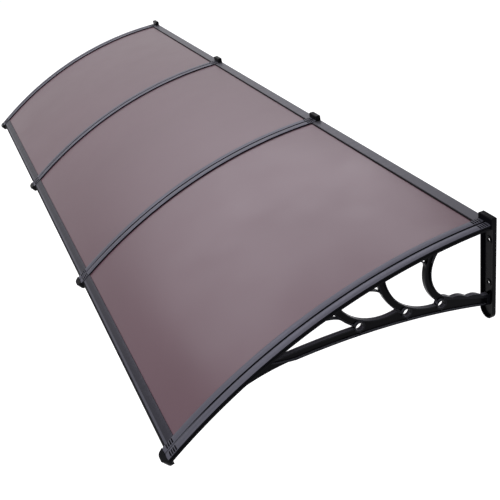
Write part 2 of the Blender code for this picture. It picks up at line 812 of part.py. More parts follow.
def add_panel(number, start, end, finishes):
    """A sheet with the strips, gasket and seal on its edges, between two bracket centres."""
    inset = TONGUE_WIDTH / 2 + EXPANSION_GAP
    at_strip = STRIP_WIDTH / 2 + FIT
    at_cap = max(at_strip, PLATE_WIDTH / 2 + CAP_OVERHANG + FIT)
    low, high = start + inset, end - inset
    section = [(low, FIT), (high, FIT), (high, SHEET_FACE), (low, SHEET_FACE)]
    sheet = swept(f"sheet_{number}", section, CAP_ANGLE, SHEET_ANGLE)
    sheet.data.materials.append(finishes["sheet"])
    edges = (
        ("rear_strip", rear_section(), at_cap, "strip"),
        ("rear_gasket", gasket_section(), at_cap, "rubber"),
        ("front_strip", front_section(), at_strip, "strip"),
        ("front_seal", seal_section(), at_strip, "rubber"),
    )
    for name, outline, clear, finish in edges:
        piece = prism(f"{name}_{number}", outline, side, start + clear, end - clear)
        piece.data.materials.append(finishes[finish])


def main():
    clear_scene()
    finishes = {
        "bracket": material("black_moulding", (0.012, 0.012, 0.014), 0.35),
        "strip": material("grey_strip", (0.16, 0.16, 0.18), 0.38, 0.6),
        "sheet": material("brown_sheet", (0.17, 0.12, 0.13), 0.32),
        "rubber": material("black_rubber", (0.010, 0.010, 0.011), 0.7),
    }
    bracket = bracket_mesh()
    bracket.materials.append(finishes["bracket"])
    strip = strip_mesh()
    strip.materials.append(finishes["strip"])
    for number, x in enumerate(BRACKET_PLACES, 1):
        add(f"bracket_{number}", bracket, x)
        add(f"press_strip_{number}", strip, x)
    for number, (start, end) in enumerate(zip(BRACKET_PLACES, BRACKET_PLACES[1:]), 1):
        add_panel(number, start, end, finishes)


main()
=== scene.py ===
import math
from types import SimpleNamespace

import bmesh
import bpy
from mathutils import Matrix, Quaternion, Vector


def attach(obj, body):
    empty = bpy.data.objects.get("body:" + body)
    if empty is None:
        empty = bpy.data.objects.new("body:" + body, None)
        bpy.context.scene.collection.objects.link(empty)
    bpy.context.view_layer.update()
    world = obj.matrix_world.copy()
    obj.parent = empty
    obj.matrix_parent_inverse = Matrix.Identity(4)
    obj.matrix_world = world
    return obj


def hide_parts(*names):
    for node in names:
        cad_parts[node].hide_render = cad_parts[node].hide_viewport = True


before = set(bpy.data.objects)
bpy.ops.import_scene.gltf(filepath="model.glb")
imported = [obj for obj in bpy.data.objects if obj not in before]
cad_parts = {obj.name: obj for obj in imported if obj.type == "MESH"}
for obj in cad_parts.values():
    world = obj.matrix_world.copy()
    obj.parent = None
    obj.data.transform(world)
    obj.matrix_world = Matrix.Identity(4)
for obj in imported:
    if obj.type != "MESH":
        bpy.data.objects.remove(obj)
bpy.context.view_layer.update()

# Sizes are the CAD model's own, in metres. The wall is Y = 0, and the canopy reaches forward along
# -Y. A side outline is drawn as (run, height) with run = -Y, and a rise is above the arms' seat.
PANELS = 3
PITCH = 1.0  # from one bracket to the next
RUN, DROP = 1.0, 0.33  # how far the seat of the arms reaches, and how much it falls
FIT = 0.0003  # room between neighbouring pieces

# Upper arm, and the core under it with its webs and rims
ARM_WIDTH, FLANGE = 0.048, 0.003
LIP, LIP_DEPTH = 0.0025, 0.007
CORE_WIDTH, ARM_CORE_DEPTH = 0.014, 0.012
WEB, RIM = 0.0035, 0.0035

# Lower arm: an arch, and the band in which it climbs to the upper arm over the gusset
ARCH_TOP_RUN, ARCH_TOP, ARCH_FOOT = 0.56, -0.189, -0.266
LOWER_ARM_DEPTH, JUNCTION_ROUND = 0.028, 0.045
BAND_KNEE_ALONG, BAND_KNEE_UP = 0.55, 0.15
GUSSET_BEHIND, GUSSET_AHEAD, GUSSET_DEPTH = 0.088, 0.172, 0.015

# Scrolls: the run of each one's boss, the way from the boss to the circle's centre, and how far the
# boss lies outside the circle
BOSS_RUNS = 0.167, 0.278, 0.424
CENTRES_BEHIND = 0.0765, 0.102, 0.082
CENTRES_ABOVE = 0.104, 0.148, 0.147
BOSSES_OUTSIDE = 0.0241, 0.0168, 0.0203
SCROLL_BAND = 0.022
FORK_DROP, FORK_REACH, FORK_RIB = 0.047, 0.045, 0.0045
BOSS_RISE, BOSS_RADIUS, BOSS_HOLE_RADIUS = 0.0285, 0.0165, 0.012
BOSS_PROUD, BOSS_RIB = 0.001, 0.004
CORNER_ROUND = 0.005
WAVES, WAVE_START, WAVE_RISE, WAVE_HEIGHT = 3, 0.158, 0.038, 0.0065

# Wall plate, its cap, and its bolt holes with their pads
PLATE_WIDTH, PLATE_DEPTH, PLATE_BOTTOM = 0.054, 0.012, -0.31
PLATE_RIM, PLATE_BACK = 0.004, 0.004
CAP_OVERHANG, CAP_DEPTH, CAP_BACK = 0.001, 0.018, 0.002
CAP_TOP, CAP_BOTTOM, CAP_ROUND = 0.027, -0.006, 0.004
BOLT_HEIGHTS, BOLT_HOLE_RADIUS = (-0.052, -0.192), 0.006
BOLT_PAD_RADIUS, BOLT_PAD_DEPTH = 0.011, 0.006

# Nose: the end plate that stops the strip, and the tongue on it
END_PLATE = 0.003
NOSE_WIDTH, NOSE_LENGTH, NOSE_ROUND = 0.044, 0.0178, 0.008
NOSE_ABOVE, NOSE_BELOW = 0.0115, 0.016

# Sheets
SHEET, SHEET_TO_NOSE, EXPANSION_GAP = 0.003, 0.012, 0.0005

# Pressing strips, with short bars cut across them near both ends
STRIP_OVERHANG, TONGUE_WIDTH = 0.002, 0.006
STRIP_EDGE, STRIP_CROWN = 0.003, 0.006
STRIP_SHOULDER, SHOULDER_REACH = 0.005, 0.0025
GROOVE_WIDTH, GROOVE_SLOPE, GROOVE_FLOOR = 0.007, 0.001, 0.003
BARS, BAR_LENGTH, BAR_WIDTH = 4, 0.018, 0.0044
BAR_STEP, BAR_SINK = 0.007, 0.002
BARS_FROM_FRONT, BARS_FROM_WALL = 0.014, 0.008
FADE_START, FADE_END = 0.86, 0.955  # the runs between which the groove's painted shade fades to its own light grey

# Rear strips with their gaskets, and front strips with their seals
REAR_REACH, REAR_WALL, REAR_BEVEL, REAR_FOOT_REACH = 0.034, 0.002, 0.0008, 0.026
GASKET, GASKET_REACH, GASKET_EDGE, GASKET_BEVEL = 0.001, 0.014, 0.004, 0.001
FRONT_REACH, FRONT_WALL, FRONT_CROWN, FRONT_FOOT_REACH = 0.030, 0.0022, 0.0009, 0.016
FRONT_NOSE, FRONT_BEVEL, SEAL = 0.006, 0.0008, 0.005
FRONT_BAND = 0.006  # where the band with a painted highlight, behind the front strip's nose in painted shade, ends
BAND_START = 0.2  # where it starts, as a share of the way there from the top of the nose

# Screws that hold the pressing strips, driven up through the arms
SCREW_RUNS = 0.090, 0.245, 0.390, 0.550, 0.930
SCREW_RADIUS, SCREW_HEAD = 0.004, 0.0025
# The head from its middle out, as (share of its radius, share of its height)
HEAD_PROFILE = (0.02, 1.0), (0.45, 0.93), (0.8, 0.7), (1.0, 0.3), (1.0, 0.0)
CROSS_LONG, CROSS_WIDE = 0.55, 0.12  # half the size of the recess's arms, as shares of the radius

# Steps in the curves, finer than the CAD model's
ARC_STEPS = 96
SCROLL_STEPS = 40
SHORT_STEPS = 12
CORNER_STEPS = 6
ROUND_SIDES = 40
SCREW_SIDES = 20
SMOOTH_ANGLE = math.radians(28)
SAME_POINT = 1e-5  # corners of an outline that lie closer than this are one

# The finishes of the pieces that have more than one, painted highlights and painted shade among
# them, in the order of their material slots
BRACKET_FINISHES_AND_HIGHLIGHTS = ["bracket", "rim", "ledge"]
STRIP_FINISH_AND_PAINTED_SHADE = ["strip", "groove", "fading_groove"]
FRONT_PAINTED_SHADE_AND_HIGHLIGHT = ["front_strip", "groove", "front_band"]
SIDEWAYS, UPWARDS = 0.99, 0.35  # a face looks that way when its normal points there by this much
END_FACES = 2  # a tube's first faces are its ends
NOSE_EDGES = range(1, CORNER_STEPS + 3)  # of a front strip's outline: its nose, in painted shade
BAND_EDGES = [CORNER_STEPS + 3]  # and the band behind it, with a painted highlight

SEAT_RADIUS = (RUN**2 + DROP**2) / (2 * DROP)
SEAT_CENTRE = Vector((0, -SEAT_RADIUS))
UNDER_RADIUS = SEAT_RADIUS - ARM_CORE_DEPTH
ARCH_FALL = ARCH_TOP - ARCH_FOOT
ARCH_RADIUS = (ARCH_TOP_RUN**2 + ARCH_FALL**2) / (2 * ARCH_FALL)
ARCH_CENTRE = Vector((ARCH_TOP_RUN, ARCH_TOP - ARCH_RADIUS))
ARM_RADIUS = ARCH_RADIUS + LOWER_ARM_DEPTH  # of the lower arm's top edge
NOSE_ANGLE = math.asin(RUN / SEAT_RADIUS)
SHEET_ANGLE = NOSE_ANGLE - SHEET_TO_NOSE / SEAT_RADIUS
CAP_ANGLE = math.asin((CAP_DEPTH + FIT) / SEAT_RADIUS)
STRIP_WIDTH = ARM_WIDTH + 2 * STRIP_OVERHANG
SHEET_FACE = FIT + SHEET
STRIP_BASE = SHEET_FACE + FIT
SCROLLS = [
    SimpleNamespace(run=run, behind=behind, above=above, radius=math.hypot(behind, above) - out)
    for run, behind, above, out in zip(BOSS_RUNS, CENTRES_BEHIND, CENTRES_ABOVE, BOSSES_OUTSIDE)
]
BRACKET_PLACES = [(i - PANELS / 2) * PITCH for i in range(PANELS + 1)]


def side(point, x):
    return (x, -point[0], point[1])


def front(point, run):
    return (point[0], -run, point[1])


def on_seat(angle, rise):
    """The side point at this rise above the seat of the arms, at this angle from the wall."""
    radius = SEAT_RADIUS + rise
    return SEAT_CENTRE + radius * Vector((math.sin(angle), math.cos(angle)))


def seat_angle(run, rise=0.0):
    return math.asin(run / (SEAT_RADIUS + rise))


def over_arch(run, rise=0.0):
    """The side point at this run, on a curve this far above the lower arm's bottom edge."""
    radius = ARCH_RADIUS + rise
    return Vector((run, ARCH_CENTRE.y + math.sqrt(radius**2 - (run - ARCH_TOP_RUN) ** 2)))


def under_circle(run, centre, radius):
    return Vector((run, centre.y - math.sqrt(radius**2 - (run - centre.x) ** 2)))


def crossings(centre, radius, other, other_radius):
    """The two points where two circles cross."""
    away = other - centre
    along = (radius**2 - other_radius**2 + away.length_squared) / (2 * away.length)
    across = math.sqrt(radius**2 - along**2)
    foot = centre + along * away.normalized()
    normal = Vector((-away.y, away.x)).normalized()
    return foot + across * normal, foot - across * normal


def foremost(points):
    return max(points, key=lambda point: point.x)


def lowest(points):
    return min(points, key=lambda point: point.y)


def arc(centre, start, end, steps):
    """Points from start to end, the short way round a centre."""
    first = math.atan2(*(start - centre).yx)
    turn = math.atan2(*(end - centre).yx) - first
    turn = (turn + math.pi) % (2 * math.pi) - math.pi
    radius = (start - centre).length
    angles = [first + turn * k / steps for k in range(steps + 1)]
    return [centre + radius * Vector((math.cos(a), math.sin(a))) for a in angles]


def seat_arc(first, last, rise, steps):
    return [on_seat(first + (last - first) * k / steps, rise) for k in range(steps + 1)]


def along_curve(curve_at, first, last, steps=SHORT_STEPS):
    return [curve_at(first + (last - first) * k / steps) for k in range(steps + 1)]


def curve(start, knee, end, steps=CORNER_STEPS):
    """A curve from start to end that heads for the knee at both ends."""
    shares = [k / steps for k in range(steps + 1)]
    return [start.lerp(knee, s).lerp(knee.lerp(end, s), s) for s in shares]


def shortened(points, cut):
    """The polyline with this much length taken off its start."""
    for a, b in zip(points, points[1:]):
        step = (b - a).length
        if step > cut:
            return [a.lerp(b, cut / step)] + points[points.index(b) :]
        cut -= step
    return points[-1:]


def joined(*pieces):
    """One closed outline from (polyline, rounding of the corner after it) pairs."""
    outline = []
    for k, (points, rounding) in enumerate(pieces):
        following = pieces[(k + 1) % len(pieces)][0]
        kept = shortened(points, pieces[k - 1][1])
        kept = shortened(kept[::-1], rounding)[::-1]
        outline += kept
        if rounding:
            onward = shortened(following, rounding)
            outline += curve(kept[-1], points[-1], onward[0])[1:-1]
    return [p for p, q in zip(outline, outline[1:] + outline[:1]) if (q - p).length > SAME_POINT]


def mesh_object(name, corners, faces):
    mesh = bpy.data.meshes.new(name)
    mesh.from_pydata(corners, [], faces)
    work = bmesh.new()
    work.from_mesh(mesh)
    bmesh.ops.recalc_face_normals(work, faces=work.faces)
    work.to_mesh(mesh)
    work.free()
    return linked(name, mesh)


def linked(name, mesh):
    obj = bpy.data.objects.new(name, mesh)
    bpy.context.scene.collection.objects.link(obj)
    return obj


def tube_faces(rings, count):
    """Faces of a closed solid whose rings of count corners follow each other."""
    faces = [tuple(range(count)), tuple(range((rings - 1) * count, rings * count))]
    for ring in range(rings - 1):
        low = ring * count
        for k in range(count):
            after = (k + 1) % count
            faces.append((low + k, low + after, low + count + after, low + count + k))
    return faces


def prism(name, outline, placed, *depths):
    """A solid with this outline, through these depths along the axis that placed adds."""
    corners = [placed(point, depth) for depth in depths for point in outline]
    return mesh_object(name, corners, tube_faces(len(depths), len(outline)))


def swept(name, section, first, last, steps=ARC_STEPS):
    """A solid whose (x, rise) section runs along the seat arc."""
    corners = []
    for k in range(steps + 1):
        angle = first + (last - first) * k / steps
        corners += [side(on_seat(angle, rise), x) for x, rise in section]
    return mesh_object(name, corners, tube_faces(steps + 1, len(section)))


def cylinder(name, centre, radius, placed, low, high):
    turns = [2 * math.pi * (k + 0.5) / ROUND_SIDES for k in range(ROUND_SIDES)]
    outline = [centre + radius * Vector((math.cos(a), math.sin(a))) for a in turns]
    return prism(name, outline, placed, low, high)


def merged(name, objects):
    """One object that holds the meshes of several helpers, which don't touch each other."""
    work = bmesh.new()
    for obj in objects:
        work.from_mesh(obj.data)
        bpy.data.objects.remove(obj)
    mesh = bpy.data.meshes.new(name)
    work.to_mesh(mesh)
    work.free()
    return linked(name, mesh)


def carve(target, steps):
    """Applies (operation, tool) Booleans in turn and removes the tools."""
    for k, (operation, tool) in enumerate(steps):
        modifier = target.modifiers.new(f"step {k}", "BOOLEAN")
        modifier.operation = operation
        modifier.object = tool
        modifier.solver = "EXACT"
    graph = bpy.context.evaluated_depsgraph_get()
    mesh = bpy.data.meshes.new_from_object(target.evaluated_get(graph))
    target.modifiers.clear()
    target.data = mesh
    for _, tool in steps:
        bpy.data.objects.remove(tool)


def boss_centre(scroll):
    return over_arch(scroll.run, BOSS_RISE)


def scroll_centre(scroll):
    return boss_centre(scroll) + Vector((-scroll.behind, scroll.above))


def under_arm(run):
    """The point at this run on the lower edge of the core in the upper arm."""
    return on_seat(seat_angle(run, -ARM_CORE_DEPTH), -ARM_CORE_DEPTH)


def arm_underside(start, end, steps=SHORT_STEPS):
    return arc(SEAT_CENTRE, start, end, steps)


def junction():
    """The front corner of the last opening, where the two arms meet."""
    return foremost(crossings(ARCH_CENTRE, ARM_RADIUS, SEAT_CENTRE, UNDER_RADIUS))


def fork(scroll):
    """Where a scroll's outer edge leaves its circle, the circle's top, and the branch's tip."""
    centre = scroll_centre(scroll)
    outer = scroll.radius + SCROLL_BAND
    top = foremost(crossings(centre, outer, SEAT_CENTRE, UNDER_RADIUS))
    from_centre = math.atan2(*(top - centre).yx) - FORK_DROP / outer
    parting = centre + outer * Vector((math.cos(from_centre), math.sin(from_centre)))
    return parting, top, under_arm(top.x + FORK_REACH)


def fork_branch(scroll, inset=0.0):
    """The forward edge of a fork, from the parting up to the arm; inset moves it back by a rib."""
    parting, top, tip = fork(scroll)
    back = inset * (top - tip).normalized()
    return curve(parting + back, parting.lerp(top, 0.5) + back, tip + back)


def rear_opening():
    """Between the wall plate and the first scroll, with the leafy waves at its foot."""
    scroll = SCROLLS[0]
    centre, radius = scroll_centre(scroll), scroll.radius
    top = foremost(crossings(centre, radius, SEAT_CENTRE, UNDER_RADIUS))
    wall_top = under_arm(PLATE_BACK - RIM / 2)
    foot = under_circle(WAVE_START, centre, radius)
    wall_foot = Vector((wall_top.x, ARCH_FOOT + WAVE_RISE))
    waves = []
    for k in range(SHORT_STEPS * WAVES + 1):
        dip = WAVE_HEIGHT * (1 - abs(math.cos(math.pi * k / SHORT_STEPS)))
        waves.append(foot.lerp(wall_foot, k / (SHORT_STEPS * WAVES)) - Vector((0, dip)))
    return joined(
        (arm_underside(wall_top, top), CORNER_ROUND),
        (arc(centre, top, foot, SCROLL_STEPS), 0),
        (waves, 0),
        ([wall_foot, wall_top], 0),
    )


def scroll_opening(scroll, following):
    """Between one scroll and the next one outward, down to the lower arm."""
    inner, inner_radius = scroll_centre(following), following.radius
    outer, outer_radius = scroll_centre(scroll), scroll.radius + SCROLL_BAND
    parting, _, tip = fork(scroll)
    top = foremost(crossings(inner, inner_radius, SEAT_CENTRE, UNDER_RADIUS))
    foot = lowest(crossings(inner, inner_radius, outer, outer_radius))
    return joined(
        (arm_underside(tip, top), CORNER_ROUND),
        (arc(inner, top, foot, SCROLL_STEPS), CORNER_ROUND),
        (arc(outer, foot, parting, SCROLL_STEPS), 0),
        (fork_branch(scroll), 0),
    )


def front_opening():
    """Between the last scroll and the place where the two arms meet."""
    scroll = SCROLLS[-1]
    centre, radius = scroll_centre(scroll), scroll.radius + SCROLL_BAND
    parting, _, tip = fork(scroll)
    foot = foremost(crossings(ARCH_CENTRE, ARM_RADIUS, centre, radius))
    return joined(
        (arm_underside(tip, junction()), JUNCTION_ROUND),
        (arc(ARCH_CENTRE, junction(), foot, SHORT_STEPS), CORNER_ROUND),
        (arc(centre, foot, parting, SCROLL_STEPS), 0),
        (fork_branch(scroll), 0),
    )


def fork_opening(scroll):
    """The small three-cornered gap between a scroll and its branch."""
    _, top, tip = fork(scroll)
    branch = fork_branch(scroll, FORK_RIB)
    inner = top + (tip - top).normalized() * FORK_RIB
    clear_of_rim = branch[CORNER_STEPS // 3 :]
    return joined((clear_of_rim, 0), (arm_underside(branch[-1], inner), 0))


def scroll_pocket(scroll):
    """The recess along a scroll's band, between its two rims."""
    centre, radius = scroll_centre(scroll), scroll.radius
    edges = radius + RIM, radius + SCROLL_BAND - RIM
    tops = [foremost(crossings(centre, edge, SEAT_CENTRE, UNDER_RADIUS - RIM)) for edge in edges]
    boss = (boss_centre(scroll) - centre).normalized()
    feet = [centre + edge * boss for edge in edges]
    inner = arc(centre, tops[0], feet[0], SCROLL_STEPS)
    outer = arc(centre, feet[1], tops[1], SCROLL_STEPS)
    return joined((inner, 0), (outer, 0))


def lens_pocket(scroll, following):
    """The recess in the lower arm between two bosses, under the edges of the scrolls beside it."""
    centre, radius = scroll_centre(following), following.radius + RIM
    behind, behind_radius = scroll_centre(scroll), scroll.radius + SCROLL_BAND + RIM
    near, far = scroll.run + BOSS_RIB / 2, following.run - BOSS_RIB / 2
    floor = along_curve(lambda run: over_arch(run, RIM), near, far)
    corner = max(near, lowest(crossings(centre, radius, behind, behind_radius)).x)
    roof = along_curve(lambda run: under_circle(run, centre, radius), far, corner)
    if corner > near:
        roof.append(under_circle(near, behind, behind_radius))
    return joined((floor, 0), (roof, 0))


def rear_pocket():
    """The recess in the lower arm between the wall plate and the first boss."""
    near, far = PLATE_DEPTH + RIM, SCROLLS[0].run - BOSS_RIB / 2
    foot = under_circle(WAVE_START, scroll_centre(SCROLLS[0]), SCROLLS[0].radius)
    under_waves = WAVE_HEIGHT + RIM
    roof = [
        Vector((far, foot.y - under_waves)),
        Vector((near, ARCH_FOOT + WAVE_RISE - under_waves)),
    ]
    return joined((along_curve(lambda run: over_arch(run, RIM), near, far), 0), (roof, 0))


def band_edge(rise):
    """The lower arm's bottom rim where it leaves the arch and climbs to the upper arm."""
    meeting = junction().x
    start, end = over_arch(meeting - GUSSET_BEHIND, rise), under_arm(meeting)
    way = end - start
    knee = start + Vector((BAND_KNEE_ALONG * way.x, BAND_KNEE_UP * way.y))
    return curve(start, knee, end, SHORT_STEPS)


def front_pocket():
    """The recess in the lower arm between the last boss and the upper arm."""
    near, far = SCROLLS[-1].run + BOSS_RIB / 2, junction().x - GUSSET_BEHIND
    floor = along_curve(lambda run: over_arch(run, RIM), near, far)
    climb = band_edge(RIM)[1:-1]
    roof = along_curve(lambda run: over_arch(run, LOWER_ARM_DEPTH - RIM), far, near)
    return joined((floor + climb, 0), (roof, 0))


def gusset_pocket():
    """Cuts the corner between the two arms, outside the bottom rim, down to the web."""
    edge = [over_arch(junction().x - GUSSET_BEHIND - RIM, -RIM)] + band_edge(0)[1:]
    end = on_seat(NOSE_ANGLE, -ARM_CORE_DEPTH)
    below = end.y - GUSSET_DEPTH - ARM_CORE_DEPTH
    return joined(
        (edge, 0),
        (arm_underside(edge[-1], end, SCROLL_STEPS), 0),
        ([Vector((end.x, below)), Vector((edge[0].x, below))], 0),
    )


def core_outline():
    """The side outline of the moulding between the wall plate and the nose.

    It runs on inside the plate, the flange and the end plate, so that they join.
    """
    inside = PLATE_BACK / 2
    end = NOSE_ANGLE + END_PLATE / 3 / SEAT_RADIUS
    top = seat_arc(seat_angle(inside), end, -FLANGE / 2, ARC_STEPS)
    meeting = junction().x
    last = seat_angle(meeting + GUSSET_AHEAD, -GUSSET_DEPTH)
    nose_end = seat_arc(end, last, -GUSSET_DEPTH, SCROLL_STEPS)
    start = over_arch(meeting - GUSSET_BEHIND)
    heading = Vector((math.cos(last), -math.sin(last)))
    knee = nose_end[-1] - heading * (GUSSET_AHEAD + GUSSET_BEHIND) / 2
    gusset = curve(nose_end[-1], knee, start, SHORT_STEPS)
    arch = arc(ARCH_CENTRE, start, over_arch(inside), ARC_STEPS)
    return joined((top, 0), (nose_end, 0), (gusset[1:-1], 0), (arch, 0))


def upper_arm():
    """The T-shaped arm with its lips, from inside the wall plate to inside the end plate."""
    half = ARM_WIDTH / 2
    inner = half - LIP
    right = [(half, 0), (half, -LIP_DEPTH), (inner, -LIP_DEPTH), (inner, -FLANGE)]
    section = right + [(-x, rise) for x, rise in right[::-1]]
    overlap = END_PLATE / 2 / SEAT_RADIUS
    return swept("arm", section, seat_angle(PLATE_DEPTH / 3), NOSE_ANGLE + overlap)


def plate_outline(half, top, bottom):
    """A plate with a fully rounded lower end, seen from the front."""
    centre = Vector((0, bottom + half))
    turns = [math.pi * k / SCROLL_STEPS for k in range(SCROLL_STEPS + 1)]
    end = [centre + half * Vector((-math.cos(a), -math.sin(a))) for a in turns]
    return end + [Vector((half, top)), Vector((-half, top))]


def wall_plate():
    """The plate, which ends inside the cap and is hollow towards the front."""
    half = PLATE_WIDTH / 2
    outline = plate_outline(half, CAP_TOP - CAP_ROUND / 2, PLATE_BOTTOM)
    plate = prism("plate", outline, front, 0, PLATE_DEPTH)
    hollow = plate_outline(half - PLATE_RIM, CAP_BOTTOM - PLATE_RIM, PLATE_BOTTOM + PLATE_RIM)
    carve(plate, [("DIFFERENCE", prism("recess", hollow, front, PLATE_BACK, 2 * PLATE_DEPTH))])
    return plate


def rounded(obj, chosen, width, segments):
    """Rounds the edges that chosen picks."""
    work = bmesh.new()
    work.from_mesh(obj.data)
    edges = [edge for edge in work.edges if chosen(edge)]
    bmesh.ops.bevel(work, geom=edges, offset=width, segments=segments, affect="EDGES", profile=0.5)
    work.to_mesh(obj.data)
    work.free()


def cap():
    """The block over the plate's top, rounded there but not along the wall."""
    half = PLATE_WIDTH / 2 + CAP_OVERHANG
    outline = (-half, CAP_BOTTOM), (half, CAP_BOTTOM), (half, CAP_TOP), (-half, CAP_TOP)
    block = prism("cap", outline, front, CAP_BACK, CAP_DEPTH)

    def on_top(edge):
        high = all(vert.co.z > CAP_TOP - CAP_ROUND for vert in edge.verts)
        return high and not all(vert.co.y > -CAP_BACK - CAP_ROUND for vert in edge.verts)

    rounded(block, on_top, CAP_ROUND, CORNER_STEPS)
    return block


def nose():
    """The end plate that stops the strip and hides its end, and the tongue on it."""
    along = Vector((math.cos(NOSE_ANGLE), -math.sin(NOSE_ANGLE)))
    up = Vector((math.sin(NOSE_ANGLE), math.cos(NOSE_ANGLE)))
    origin = on_seat(NOSE_ANGLE, 0)
    reach = END_PLATE + NOSE_LENGTH
    low, high = origin - NOSE_BELOW * up, origin + NOSE_ABOVE * up
    far_low, far_high = low + reach * along, high + reach * along
    outline = joined(
        ([low, far_low], NOSE_ROUND),
        ([far_low, far_high], NOSE_ROUND),
        ([far_high, high], 0),
    )
    turns = [math.pi * k / SCROLL_STEPS for k in range(SCROLL_STEPS + 1)]
    plan = [(NOSE_WIDTH / 2 * math.cos(a), END_PLATE + NOSE_LENGTH * math.sin(a)) for a in turns]
    half = ARM_WIDTH / 2
    plan += [(-half, END_PLATE), (-half, -reach), (half, -reach), (half, END_PLATE)]

    def above_plan(point, rise):
        return side(origin + point[1] * along + rise * up, point[0])

    block = prism("nose", outline, side, -ARM_WIDTH, ARM_WIDTH)
    column = prism("plan", plan, above_plan, -2 * NOSE_BELOW, 2 * NOSE_ABOVE)
    carve(block, [("INTERSECT", column)])
    return block


def pocket_cutters(outlines):
    """Cut recesses with these outlines from both sides of the core, down to its web."""
    depths = (-CORE_WIDTH, -WEB / 2), (WEB / 2, CORE_WIDTH)
    return [prism("pocket", outline, side, *depth) for outline in outlines for depth in depths]


def bracket_colour_with_highlights(face):
    """A bracket is black, with painted highlights on its flat rims and its ledges that look up
    below its arm.
    """
    half, across, run = CORE_WIDTH / 2, abs(face.center.x), -face.center.y
    # painted highlight: the flat rims are a little lighter black
    at_rim = half - WEB / 2 < across < half + BOSS_PROUD + WEB / 2
    if at_rim and abs(face.normal.x) > SIDEWAYS:
        return "rim"
    # painted highlight: the ledges that look up below the arm are painted much lighter
    below_arm = math.hypot(run, face.center.z + SEAT_RADIUS) < UNDER_RADIUS
    in_core = across < half and run > PLATE_DEPTH and below_arm
    if in_core and face.normal.z > UPWARDS:
        return "ledge"
    return "bracket"


def bracket_mesh():
    """The whole moulding: its core is cut first, and then what stands on the core is joined on."""
    half = CORE_WIDTH / 2
    core = prism("core", core_outline(), side, -half, half)
    pairs = list(zip(SCROLLS, SCROLLS[1:]))
    openings = [rear_opening(), front_opening()]
    openings += [scroll_opening(a, b) for a, b in pairs]
    openings += [fork_opening(scroll) for scroll in SCROLLS]
    scroll_pockets = [scroll_pocket(scroll) for scroll in SCROLLS]
    arm_pockets = [rear_pocket(), front_pocket(), gusset_pocket()]
    arm_pockets += [lens_pocket(a, b) for a, b in pairs]
    windows = [prism("window", outline, side, -CORE_WIDTH, CORE_WIDTH) for outline in openings]
    steps = [
        ("DIFFERENCE", merged("windows", windows)),
        ("DIFFERENCE", merged("scroll pockets", pocket_cutters(scroll_pockets))),
        ("DIFFERENCE", merged("arm pockets", pocket_cutters(arm_pockets))),
        ("UNION", upper_arm()),
        ("UNION", wall_plate()),
        ("UNION", cap()),
        ("UNION", nose()),
    ]
    rounds, drills = [], []
    proud = half + BOSS_PROUD
    for scroll in SCROLLS:
        spot = boss_centre(scroll)
        rounds.append(cylinder("boss", spot, BOSS_RADIUS, side, -proud, proud))
        drills.append(cylinder("drill", spot, BOSS_HOLE_RADIUS, side, -CORE_WIDTH, CORE_WIDTH))
    for height in BOLT_HEIGHTS:
        spot = Vector((0, height))
        rounds.append(cylinder("pad", spot, BOLT_PAD_RADIUS, front, PLATE_BACK / 2, BOLT_PAD_DEPTH))
        through = -PLATE_DEPTH, 2 * PLATE_DEPTH
        drills.append(cylinder("drill", spot, BOLT_HOLE_RADIUS, front, *through))
    steps += [("UNION", merged("rounds", rounds)), ("DIFFERENCE", merged("drills", drills))]
    carve(core, steps)
    mesh = core.data
    bpy.data.objects.remove(core)
    for face in mesh.polygons:
        face.material_index = BRACKET_FINISHES_AND_HIGHLIGHTS.index(bracket_colour_with_highlights(face))
    return mesh


def strip_section():
    """(x, rise) of a pressing strip: two crowned bands with a groove between, and a tongue."""
    half, tongue, groove = STRIP_WIDTH / 2, TONGUE_WIDTH / 2, GROOVE_WIDTH / 2
    shoulder = Vector((half - SHOULDER_REACH, STRIP_BASE + STRIP_SHOULDER))
    edge = Vector((half, STRIP_BASE + STRIP_EDGE))
    lip = Vector((groove, STRIP_BASE + STRIP_SHOULDER))
    crown = Vector(((half + groove) / 2, STRIP_BASE + 2 * STRIP_CROWN - STRIP_SHOULDER))
    right = [Vector((tongue, FIT)), Vector((tongue, STRIP_BASE)), Vector((half, STRIP_BASE))]
    right += curve(edge, Vector((half, shoulder.y)), shoulder)[:-1]
    right += curve(shoulder, crown, lip)
    right.append(Vector((groove - GROOVE_SLOPE, STRIP_BASE + GROOVE_FLOOR)))
    return right + [Vector((-point.x, point.y)) for point in right[::-1]]


def seat_block(name, angle, reach, low, high, left, right):
    """A block across the seat arc, reach to both sides of this angle, between two rises."""
    turns = angle - reach, angle + reach
    outline = [on_seat(turn, low) for turn in turns]
    outline += [on_seat(turn, high) for turn in turns[::-1]]
    return prism(name, outline, side, left, right)


def bar_cutter(place, middle):
    """Cuts one of the short bars across a pressing strip."""
    top, reach = STRIP_BASE + STRIP_CROWN, BAR_WIDTH / 2 / SEAT_RADIUS
    ends = middle - BAR_LENGTH / 2, middle + BAR_LENGTH / 2
    return seat_block("bar", place, reach, top - BAR_SINK, top + BAR_SINK, *ends)


def paint(mesh, count, edges, finish):
    """Puts the faces that these edges of a section of count corners made in this material slot."""
    for face in mesh.polygons[END_FACES:]:
        if (face.index - END_FACES) % count in edges:
            face.material_index = finish


def give(mesh, finishes, names):
    for name in names:
        mesh.materials.append(finishes[name])


